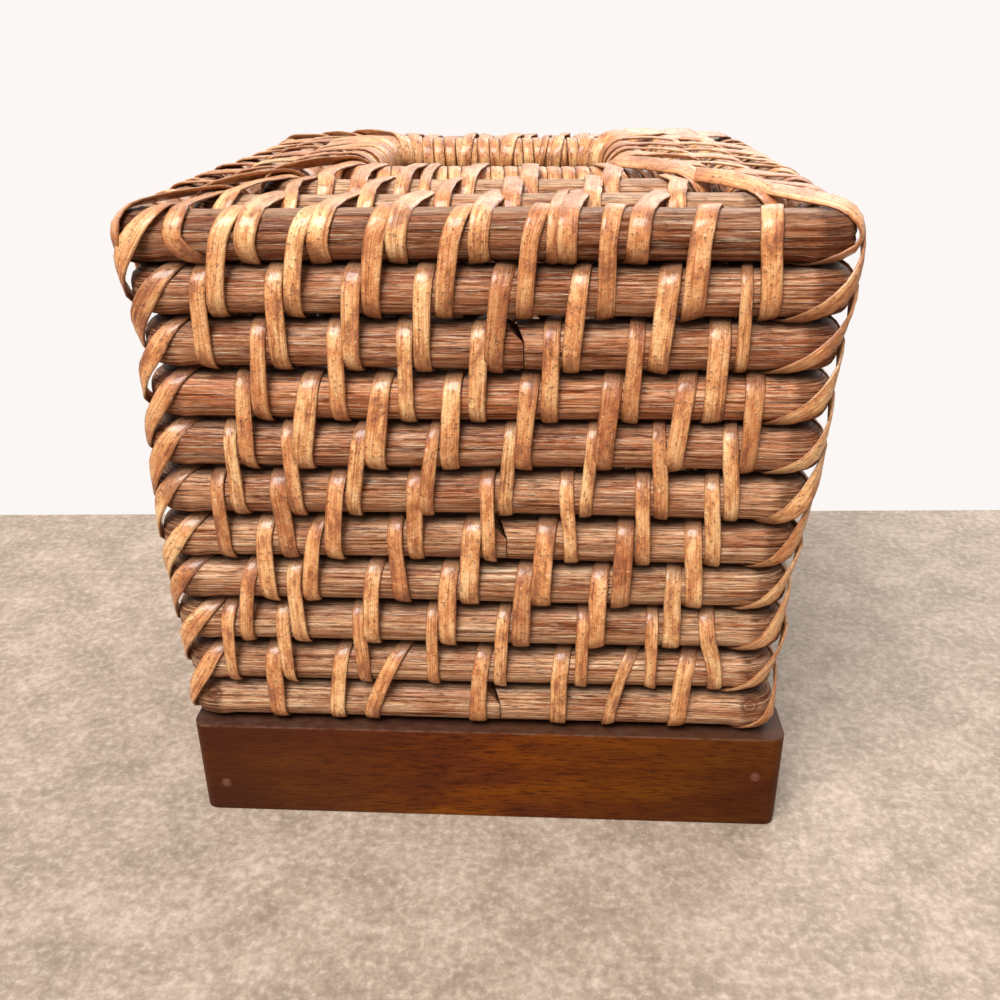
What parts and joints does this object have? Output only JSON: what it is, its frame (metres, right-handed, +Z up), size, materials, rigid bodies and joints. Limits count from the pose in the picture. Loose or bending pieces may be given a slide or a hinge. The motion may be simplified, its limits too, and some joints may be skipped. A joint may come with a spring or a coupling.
{
  "type": "tissue box cover",
  "caption": "Square lift-off cover for a cube tissue box: stacked rattan hoops bound with cane strips, a wooden base frame and a square opening in the top.",
  "frame": {"origin": "middle of the base frame's underside", "axes": "+Z up through the top opening, -Y towards the front face that the picture shows, +X to its right"},
  "size_m": [0.1512, 0.1512, 0.156],
  "materials": {
    "rattan_rod": "satin lacquered whole cane",
    "cane_strip": "glossy split cane skin",
    "base_wood": "dark reddish brown satin stain",
    "nail_steel": "plain steel",
    "wood_filler": "matt filler"
  },
  "bodies": {
    "root": {"side_hoop_1": "rattan_rod", "side_hoop_2": "rattan_rod", "side_hoop_3": "rattan_rod", "side_hoop_4": "rattan_rod", "side_hoop_5": "rattan_rod", "side_hoop_6": "rattan_rod", "side_hoop_7": "rattan_rod", "side_hoop_8": "rattan_rod", "side_hoop_9": "rattan_rod", "side_hoop_10": "rattan_rod", "side_hoop_11": "rattan_rod", "flat_hoop_1": "rattan_rod", "flat_hoop_2": "rattan_rod", "rim_hoop": "rattan_rod", "side_lashing_1": "cane_strip", "side_lashing_2": "cane_strip", "side_lashing_3": "cane_strip", "side_lashing_4": "cane_strip", "side_lashing_5": "cane_strip", "side_lashing_6": "cane_strip", "side_lashing_7": "cane_strip", "side_lashing_8": "cane_strip", "side_lashing_9": "cane_strip", "side_lashing_10": "cane_strip", "flat_lashing_1": "cane_strip", "flat_lashing_2": "cane_strip", "flat_lashing_3": "cane_strip", "rim_wrap": "cane_strip", "base_rail_front": "base_wood", "base_rail_back": "base_wood", "base_rail_left": "base_wood", "base_rail_right": "base_wood", "base_nails": "nail_steel", "nail_fillers": "wood_filler", "hoop_nails": "nail_steel"}
  },
  "joints": []
}
